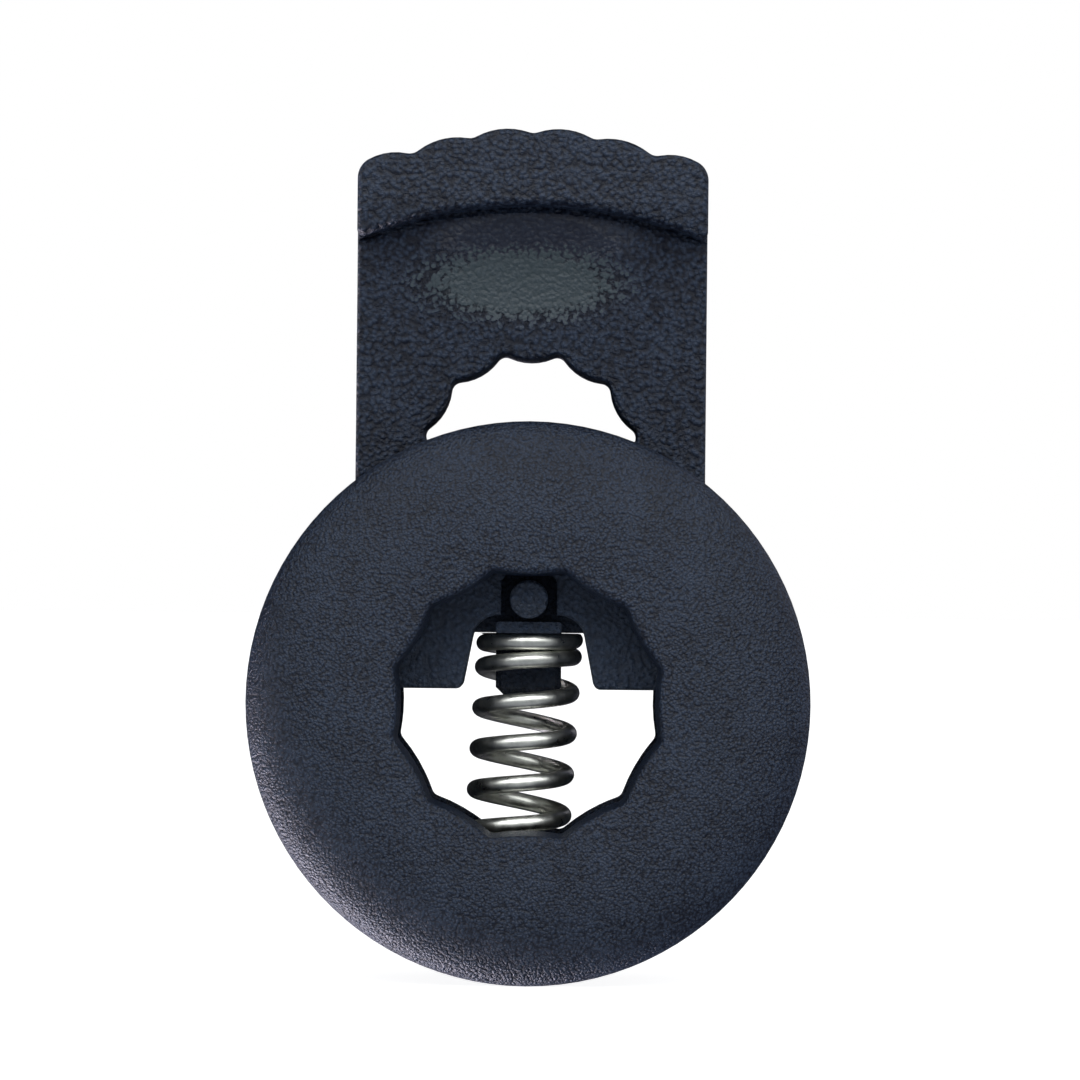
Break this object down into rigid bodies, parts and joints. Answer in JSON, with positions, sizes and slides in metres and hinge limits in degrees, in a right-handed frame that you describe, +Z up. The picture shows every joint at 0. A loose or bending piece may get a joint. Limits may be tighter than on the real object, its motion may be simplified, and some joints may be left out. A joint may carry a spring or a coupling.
{
  "type": "cord lock",
  "caption": "Round disc cord lock with a lobed cord hole and a sprung flat plunger that slides in from the rim.",
  "frame": {"origin": "centre of the cord hole, midway between the disc's two faces", "axes": "+Z up along the plunger's slide axis, the cord runs along Y, the front face looks towards -Y"},
  "size_m": [0.02, 0.0086, 0.0304],
  "materials": {
    "moulded_plastic": "fine moulded grain, slate navy",
    "spring_steel": "bare drawn wire"
  },
  "bodies": {
    "housing": {"housing": "moulded_plastic", "spring": "spring_steel"},
    "plunger": {"plunger": "moulded_plastic"}
  },
  "joints": [
    {"name": "plunger_slide", "type": "slide", "parent": "housing", "child": "plunger", "axis": [0, 0, -1], "range_m": [0, 0.0053], "stiffness_N_per_m": 5600, "deforming": ["spring"]}
  ]
}
